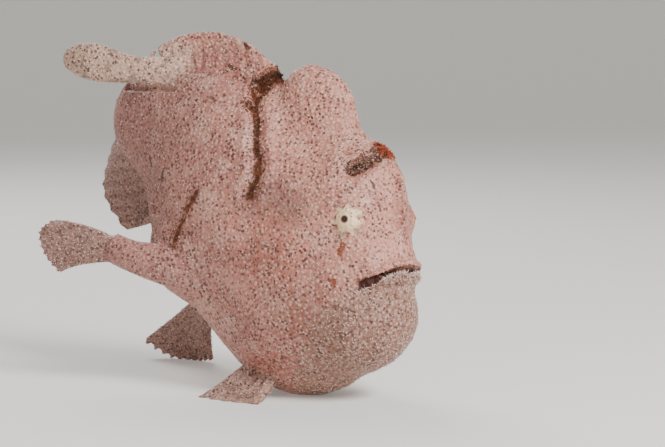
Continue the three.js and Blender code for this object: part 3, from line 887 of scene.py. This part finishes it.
def eye_material(side):
    """Cream iris with freckles, a red-brown ring and a dark pupil, under a wet gloss."""
    recipe = Recipe(f"eye_{side}_glaze")
    centre, outward = eye_axis(side)
    shift = recipe.node("ShaderNodeVectorMath", operation="SUBTRACT")
    recipe.join(recipe.place, shift.inputs[0])
    shift.inputs[1].default_value = centre + outward * EYE_FRONT
    length = recipe.node("ShaderNodeVectorMath", operation="LENGTH")
    recipe.join(shift.outputs["Vector"], length.inputs[0])
    away = length.outputs["Value"]
    freckle = recipe.range(recipe.cells(0.0010), 0.14, 0.24, 1, 0)
    freckle = recipe.times(freckle, recipe.range(away, 0.0015, 0.0020))
    cloud = recipe.range(recipe.noise(0.0009, 3), 0.4, 0.65)
    iris = recipe.mix(cloud, STAR_CREAM, IRIS_CREAM)
    iris = recipe.mix(freckle, iris, IRIS_FRECKLE)
    iris = recipe.mix(recipe.range(away, 0.0009, 0.0013, 0.85, 0), iris, IRIS_RING)
    pupil = recipe.range(away, 0.00076, 0.00092, 1, 0)
    recipe.finish("Base Color", recipe.mix(pupil, iris, PUPIL_BLACK))
    recipe.finish("Roughness", 0.35)
    recipe.finish("Coat Weight", 0.1)
    recipe.finish("Coat Roughness", 0.08)
    return recipe.material


def growth_material(name):
    recipe = Recipe(name)
    share = recipe.range(recipe.noise(0.0012, 3), 0.35, 0.65)
    recipe.finish("Base Color", recipe.mix(share, *GROWTH_COLOURS[name]))
    recipe.finish("Roughness", 0.75)
    recipe.finish("Normal", recipe.bump(recipe.noise(0.0002), 0.00005, 0.5))
    return recipe.material


# Eyes


def make_eye(side, turns=64, rings=40):
    """An eyeball with a shallow pupil, looking outwards."""
    centre, outward = eye_axis(side)
    shape = bmesh.new()
    bmesh.ops.create_uvsphere(shape, u_segments=turns, v_segments=rings, radius=eye_radius(side))
    for vertex in shape.verts:
        away = math.hypot(vertex.co.x, vertex.co.y)
        if vertex.co.z > 0:
            vertex.co.z -= PUPIL_DENT * float(fall_off(np.array(away), 0.0006, 0.0011))
            vertex.co *= 1 + CORNEA_BULGE * float(fall_off(np.array(away), 0.0003, 0.0018))
    turn = outward.to_track_quat("Z", "Y").to_matrix().to_4x4()
    shape.transform(Matrix.Translation(centre) @ turn)
    mesh = bpy.data.meshes.new(f"eyeball_{side}")
    shape.to_mesh(mesh)
    shape.free()
    mesh.shade_smooth()
    eye = add_object(f"eyeball_{side}", mesh)
    eye.data.materials.append(eye_material(side))
    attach(eye, "root")
    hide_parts(f"eye_{side}")


# Growths on the skin


def body_map(point):
    """A place on a flat map of the body: around the long axis and along it."""
    low, high = cad_box
    centre_y = (low[1] + high[1]) / 2
    centre_z = (low[2] + high[2]) / 2
    around = math.atan2(point[2] - centre_z, point[1] - centre_y) / (2 * math.pi) + 0.5
    along = (point[0] - low[0]) / (high[0] - low[0])
    return MAP_MARGIN + MAP_SPAN * around, MAP_MARGIN + MAP_SPAN * along


def skin_roots(skin, weight, count, seed):
    """Places on the skin, picked by chance where the weight is high."""
    points = points_of(skin.data)
    normals = normals_of(skin.data)
    dice = np.random.default_rng(seed)
    chance = np.clip(weight, 0, None)
    chance = chance / chance.sum()
    count = min(count, int(np.count_nonzero(chance)))
    picked = dice.choice(len(points), size=count, replace=False, p=chance)
    return list(zip(points[picked], normals[picked]))


def growths(name, skin, weight, material):
    """Many small tapered fingers standing on the skin, as one mesh."""
    sizes = GROWTHS[name]
    sides, lean = sizes["sides"], sizes["lean"]
    dice = random.Random(sizes["seed"])
    vertices, faces, patches = [], [], []
    for point, normal in skin_roots(skin, weight, sizes["count"], sizes["seed"]):
        point, normal = Vector(point), Vector(normal)
        sideways = Vector((dice.uniform(-1, 1), dice.uniform(-1, 1), dice.uniform(-1, 1)))
        direction = (normal + sideways * lean).normalized()
        curl = sideways.cross(direction) * lean * 0.6
        reach = sizes["length"] * dice.uniform(0.6, 1.3)
        thick = sizes["width"] * dice.uniform(0.7, 1.3)
        first = direction.orthogonal().normalized()
        second = direction.cross(first)
        base = len(vertices)
        for joint in range(FINGER_JOINTS):
            t = joint / FINGER_JOINTS
            middle = point + direction * reach * (t - 0.12) + curl * reach * t * t
            for side in range(sides):
                turn = 2 * math.pi * side / sides
                rim = first * math.cos(turn) + second * math.sin(turn)
                vertices.append(middle + rim * thick * (1 - 0.45 * t))
        vertices.append(point + direction * reach + curl * reach)
        tip = len(vertices) - 1
        faces.extend(finger_faces(base, sides, tip))
        patches.append((body_map(point), base, tip))
    mesh = bpy.data.meshes.new(name)
    mesh.from_pydata(vertices, [], faces)
    add_finger_map(mesh, patches, sides)
    mesh.shade_smooth()
    piece = add_object(name, mesh)
    piece.data.materials.append(material)
    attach(piece, "root")


def finger_faces(base, sides, tip):
    """Foot, walls and point of one finger, whose rings of corners start at base."""
    faces = [[base + side for side in reversed(range(sides))]]
    for joint in range(FINGER_JOINTS - 1):
        for side in range(sides):
            a = base + joint * sides + side
            b = base + joint * sides + (side + 1) % sides
            faces.append([a, b, b + sides, a + sides])
    last = base + (FINGER_JOINTS - 1) * sides
    for side in range(sides):
        faces.append([last + side, last + (side + 1) % sides, tip])
    return faces


def add_finger_map(mesh, patches, sides):
    """A small patch for each finger, at its root's place on the flat map of the body."""
    spread = {}
    for (u, v), base, tip in patches:
        for i in range(base, tip + 1):
            share = (i - base) / (tip - base)
            turn = ((i - base) % sides) / sides
            spread[i] = (u + FINGER_PATCH * (share - 0.5), v + FINGER_PATCH * (turn - 0.5))
    layer = mesh.uv_layers.new(name="OFBake")
    for loop in mesh.loops:
        layer.data[loop.index].uv = spread[loop.vertex_index]


def mark_of(skin, name):
    values = np.empty(len(skin.data.vertices), dtype=np.float32)
    skin.data.attributes[name].data.foreach_get("value", values)
    return values


def add_growths(skin):
    """Turf and tufts of algae, pale fuzz, warts and the fringe of the lower lip."""
    points = points_of(skin.data)
    tree = surface_tree(skin)
    algae_and_shadow = mark_of(skin, "algae_and_shadow")
    olive = mark_of(skin, "olive")
    jaw = mark_of(skin, "jaw")
    mouth = mark_of(skin, "mouth")
    rust = growth_material("rusty_algae")
    moss = growth_material("olive_algae")
    ember = growth_material("ember_algae")
    fuzz = growth_material("pale_fuzz")
    wart = growth_material("pale_warts")
    growths("algae_turf", skin, np.clip(algae_and_shadow, 0, 1) ** 2 * (1 - olive), rust)
    growths("olive_turf", skin, olive * algae_and_shadow, moss)
    pale_dip = near_path(points, tree, DIP, 0.0006, 0.0034)
    pale_pit = near_path(points, tree, PIT, 0.0006, 0.003)
    growths("pale_fuzz", skin, np.maximum(pale_dip, pale_pit) ** 2, fuzz)
    growths("spine_tuft", skin, near_path(points, tree, SPINE_TUFT, 0.0008, 0.0026) ** 2, ember)
    clear = (1 - mark_of(skin, "cream")) * (1 - mouth) * (points[:, 2] > 0.001)
    warty = (0.14 + jaw + 0.2 * mark_of(skin, "fins")) * clear * (1 - np.clip(algae_and_shadow, 0, 1))
    growths("skin_warts", skin, warty, wart)
    upward = normals_of(skin.data)[:, 2] > 0.0
    lips = np.clip(jaw * 4, 0, 1) * (mouth > 0.02) * (mouth < 0.7) * upward
    growths("lip_fringe", skin, lips, wart)


# Room


def add_floor(around=96, curve_steps=12):
    """A pale round floor that curves up into a wall on every side, so that no edge shows."""
    profile = [(FLOOR_RADIUS, 0.0)]
    for step in range(1, curve_steps + 1):
        turn = math.radians(90 * step / curve_steps)
        out = FLOOR_RADIUS + FLOOR_CURVE * math.sin(turn)
        profile.append((out, FLOOR_CURVE * (1 - math.cos(turn))))
    profile.append((FLOOR_RADIUS + FLOOR_CURVE, WALL_HEIGHT))
    vertices = [(0, 0, 0)]
    for radius, height in profile:
        for i in range(around):
            turn = 2 * math.pi * i / around
            vertices.append((radius * math.cos(turn), radius * math.sin(turn), height))
    faces = [(0, 1 + i, 1 + (i + 1) % around) for i in range(around)]
    for ring in range(len(profile) - 1):
        for i in range(around):
            a = 1 + ring * around + i
            b = 1 + ring * around + (i + 1) % around
            faces.append((a, a + around, b + around, b))
    mesh = bpy.data.meshes.new("floor")
    mesh.from_pydata(vertices, [], faces)
    mesh.shade_smooth()
    floor = add_object("floor", mesh)
    recipe = Recipe("pale_floor")
    recipe.finish("Base Color", FLOOR_WHITE)
    recipe.finish("Emission Color", FLOOR_WHITE)
    recipe.finish("Emission Strength", FLOOR_GLOW)
    recipe.finish("Roughness", 0.8)
    floor.data.materials.append(recipe.material)


def add_light(name, place, size, power):
    data = bpy.data.lights.new(name, "AREA")
    data.size = size
    data.energy = power
    light = bpy.data.objects.new(name, data)
    turn = (place - LIGHT_TARGET).to_track_quat("Z", "Y").to_matrix().to_4x4()
    light.matrix_world = Matrix.Translation(place) @ turn
    bpy.context.scene.collection.objects.link(light)


def add_lights():
    right, up, back = camera_axes()
    for name, ((far_back, far_right, far_up), size, power) in LIGHTS.items():
        place = LIGHT_TARGET + back * far_back + right * far_right + up * far_up
        add_light(name, place, size, power)
    world = bpy.data.worlds.new("studio")
    world.use_nodes = True
    background = world.node_tree.nodes["Background"]
    background.inputs["Color"].default_value = WORLD_WHITE
    background.inputs["Strength"].default_value = WORLD_STRENGTH
    bpy.context.scene.world = world


add_camera()
add_lights()
add_floor()
skin = make_skin()
shape_skin(skin)
thin_out(skin, SKIN_TRIANGLES)
paint_skin(skin)
skin.data.shade_smooth()
skin.data.materials.clear()
skin.data.materials.append(skin_material())
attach(skin, "root")
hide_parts(*FLESH, *FINS)
add_growths(skin)
for side in SIDES:
    make_eye(side)
